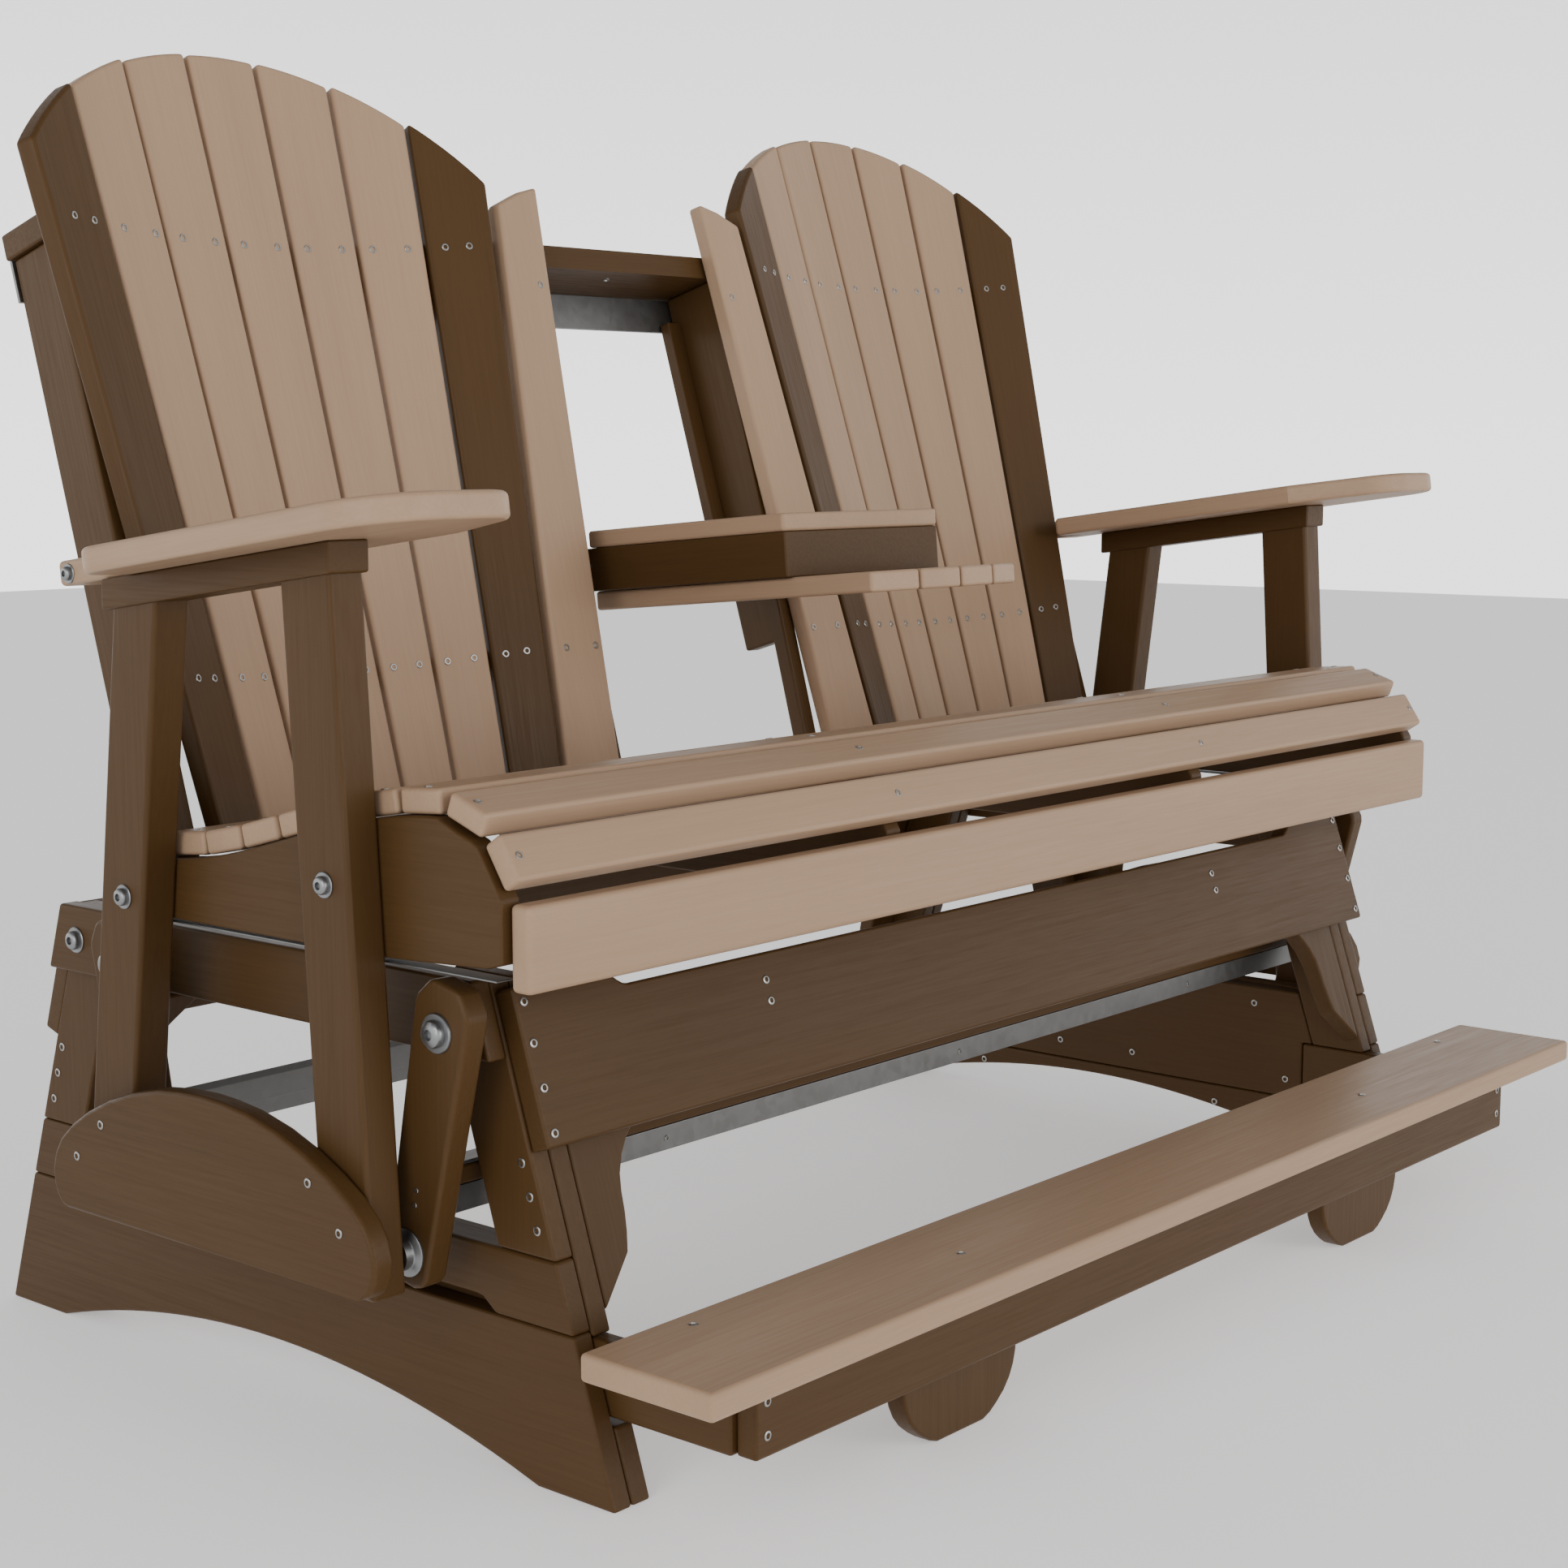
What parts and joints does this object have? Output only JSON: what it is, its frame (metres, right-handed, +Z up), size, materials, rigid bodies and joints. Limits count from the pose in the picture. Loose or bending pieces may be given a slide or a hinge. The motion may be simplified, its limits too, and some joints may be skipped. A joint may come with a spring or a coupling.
{
  "type": "glider swing",
  "caption": "Two-seat poly lumber glider swing on link arms, with fan backs, sloping armrests, a fixed footrest and a flip-up centre console.",
  "frame": {"origin": "on the floor, in the plane of symmetry, halfway between the footrest's front edge and the rear ends of the base", "axes": "+X along the bench's width, to the right for someone facing its front; -Y is the front, where the footrest is; +Z up"},
  "size_m": [1.744, 1.021, 1.2455],
  "materials": {
    "arm_post_front_left": "chestnut brown poly lumber with a fine embossed wood grain",
    "arm_post_front_right": "chestnut brown poly lumber with a fine embossed wood grain",
    "arm_post_rear_left": "chestnut brown poly lumber with a fine embossed wood grain",
    "arm_post_rear_right": "chestnut brown poly lumber with a fine embossed wood grain",
    "arm_support_left": "chestnut brown poly lumber with a fine embossed wood grain",
    "arm_support_right": "chestnut brown poly lumber with a fine embossed wood grain",
    "armrest_left": "tan poly lumber with a fine embossed wood grain",
    "armrest_right": "tan poly lumber with a fine embossed wood grain",
    "back_cap": "chestnut brown poly lumber with a fine embossed wood grain",
    "back_post_inner_left": "chestnut brown poly lumber with a fine embossed wood grain",
    "back_post_inner_right": "chestnut brown poly lumber with a fine embossed wood grain",
    "back_post_outer_left": "chestnut brown poly lumber with a fine embossed wood grain",
    "back_post_outer_right": "chestnut brown poly lumber with a fine embossed wood grain",
    "back_slat_inner_left": "chestnut brown poly lumber with a fine embossed wood grain",
    "back_slat_inner_right": "chestnut brown poly lumber with a fine embossed wood grain",
    "back_slat_outer_left": "chestnut brown poly lumber with a fine embossed wood grain",
    "back_slat_outer_right": "chestnut brown poly lumber with a fine embossed wood grain",
    "back_slats_left": "tan poly lumber with a fine embossed wood grain",
    "back_slats_right": "tan poly lumber with a fine embossed wood grain",
    "back_strip": "galvanised steel, dull grey",
    "console_box": "chestnut brown poly lumber with a fine embossed wood grain",
    "console_shelf": "tan poly lumber with a fine embossed wood grain",
    "console_top": "tan poly lumber with a fine embossed wood grain",
    "cross_board_front": "chestnut brown poly lumber with a fine embossed wood grain",
    "cross_board_rear": "chestnut brown poly lumber with a fine embossed wood grain",
    "crossbar_batten_front": "chestnut brown poly lumber with a fine embossed wood grain",
    "crossbar_batten_rear": "chestnut brown poly lumber with a fine embossed wood grain",
    "crossbar_steel_front": "galvanised steel, dull grey",
    "crossbar_steel_rear": "galvanised steel, dull grey",
    "footrest_arm_left": "chestnut brown poly lumber with a fine embossed wood grain",
    "footrest_arm_right": "chestnut brown poly lumber with a fine embossed wood grain",
    "footrest_board": "chestnut brown poly lumber with a fine embossed wood grain",
    "footrest_tread": "tan poly lumber with a fine embossed wood grain",
    "half_moon_panel_left": "chestnut brown poly lumber with a fine embossed wood grain",
    "half_moon_panel_right": "chestnut brown poly lumber with a fine embossed wood grain",
    "hanger_rail_left": "chestnut brown poly lumber with a fine embossed wood grain",
    "hanger_rail_right": "chestnut brown poly lumber with a fine embossed wood grain",
    "link_front_left": "chestnut brown poly lumber with a fine embossed wood grain",
    "link_front_right": "chestnut brown poly lumber with a fine embossed wood grain",
    "link_rear_left": "chestnut brown poly lumber with a fine embossed wood grain",
    "link_rear_right": "chestnut brown poly lumber with a fine embossed wood grain",
    "seat_apron": "tan poly lumber with a fine embossed wood grain",
    "seat_board_inner_left": "chestnut brown poly lumber with a fine embossed wood grain",
    "seat_board_inner_right": "chestnut brown poly lumber with a fine embossed wood grain",
    "seat_board_outer_left": "chestnut brown poly lumber with a fine embossed wood grain",
    "seat_board_outer_right": "chestnut brown poly lumber with a fine embossed wood grain",
    "seat_slat_1": "tan poly lumber with a fine embossed wood grain",
    "seat_slat_2": "tan poly lumber with a fine embossed wood grain",
    "seat_slat_3": "tan poly lumber with a fine embossed wood grain",
    "seat_slat_4": "tan poly lumber with a fine embossed wood grain",
    "seat_slat_5": "tan poly lumber with a fine embossed wood grain",
    "seat_slat_6": "tan poly lumber with a fine embossed wood grain",
    "seat_slat_7": "tan poly lumber with a fine embossed wood grain",
    "seat_slat_8": "tan poly lumber with a fine embossed wood grain",
    "seat_slat_9": "tan poly lumber with a fine embossed wood grain",
    "side_frame_left": "chestnut brown poly lumber with a fine embossed wood grain",
    "side_frame_right": "chestnut brown poly lumber with a fine embossed wood grain",
    "wing_slat_left": "tan poly lumber with a fine embossed wood grain",
    "wing_slat_right": "tan poly lumber with a fine embossed wood grain"
  },
  "bodies": {
    "base": {"cross_board_front": "cross_board_front", "cross_board_rear": "cross_board_rear", "footrest_arm_left": "footrest_arm_left", "footrest_arm_right": "footrest_arm_right", "footrest_board": "footrest_board", "footrest_tread": "footrest_tread", "hanger_rail_left": "hanger_rail_left", "hanger_rail_right": "hanger_rail_right", "side_frame_left": "side_frame_left", "side_frame_right": "side_frame_right"},
    "yoke_front": {"link_front_left": "link_front_left", "link_front_right": "link_front_right", "crossbar_batten_front": "crossbar_batten_front", "crossbar_steel_front": "crossbar_steel_front"},
    "yoke_rear": {"link_rear_left": "link_rear_left", "link_rear_right": "link_rear_right", "crossbar_batten_rear": "crossbar_batten_rear", "crossbar_steel_rear": "crossbar_steel_rear"},
    "seat": {"arm_post_front_left": "arm_post_front_left", "arm_post_front_right": "arm_post_front_right", "arm_post_rear_left": "arm_post_rear_left", "arm_post_rear_right": "arm_post_rear_right", "arm_support_left": "arm_support_left", "arm_support_right": "arm_support_right", "armrest_left": "armrest_left", "armrest_right": "armrest_right", "back_cap": "back_cap", "back_post_inner_left": "back_post_inner_left", "back_post_inner_right": "back_post_inner_right", "back_post_outer_left": "back_post_outer_left", "back_post_outer_right": "back_post_outer_right", "back_slat_inner_left": "back_slat_inner_left", "back_slat_inner_right": "back_slat_inner_right", "back_slat_outer_left": "back_slat_outer_left", "back_slat_outer_right": "back_slat_outer_right", "back_slats_left": "back_slats_left", "back_slats_right": "back_slats_right", "back_strip": "back_strip", "half_moon_panel_left": "half_moon_panel_left", "half_moon_panel_right": "half_moon_panel_right", "seat_apron": "seat_apron", "seat_board_inner_left": "seat_board_inner_left", "seat_board_inner_right": "seat_board_inner_right", "seat_board_outer_left": "seat_board_outer_left", "seat_board_outer_right": "seat_board_outer_right", "seat_slat_1": "seat_slat_1", "seat_slat_2": "seat_slat_2", "seat_slat_3": "seat_slat_3", "seat_slat_4": "seat_slat_4", "seat_slat_5": "seat_slat_5", "seat_slat_6": "seat_slat_6", "seat_slat_7": "seat_slat_7", "seat_slat_8": "seat_slat_8", "seat_slat_9": "seat_slat_9", "wing_slat_left": "wing_slat_left", "wing_slat_right": "wing_slat_right"},
    "console": {"console_box": "console_box", "console_shelf": "console_shelf", "console_top": "console_top"}
  },
  "joints": [
    {"name": "front_swing", "type": "hinge", "parent": "base", "child": "yoke_front", "pos_m": [0, -0.2035, 0.389], "axis": [1, 0, 0], "range_deg": [-5.4, 5.4]},
    {"name": "rear_swing", "type": "hinge", "parent": "base", "child": "yoke_rear", "pos_m": [0, 0.2385, 0.389], "axis": [1, 0, 0], "range_deg": [-5.4, 5.4]},
    {"name": "seat_hang", "type": "hinge", "parent": "yoke_front", "child": "seat", "pos_m": [0, -0.1615, 0.197], "axis": [1, 0, 0], "range_deg": [-6.7, 6.7]},
    {"name": "console_flip", "type": "hinge", "parent": "seat", "child": "console", "pos_m": [0, 0.2355, 0.732], "axis": [-1, 0, 0], "range_deg": [0, 101]}
  ],
  "couplings": [
    {"joint": "rear_swing", "follows": "front_swing", "ratio": 1},
    {"joint": "seat_hang", "follows": "front_swing", "ratio": -1.2346}
  ]
}
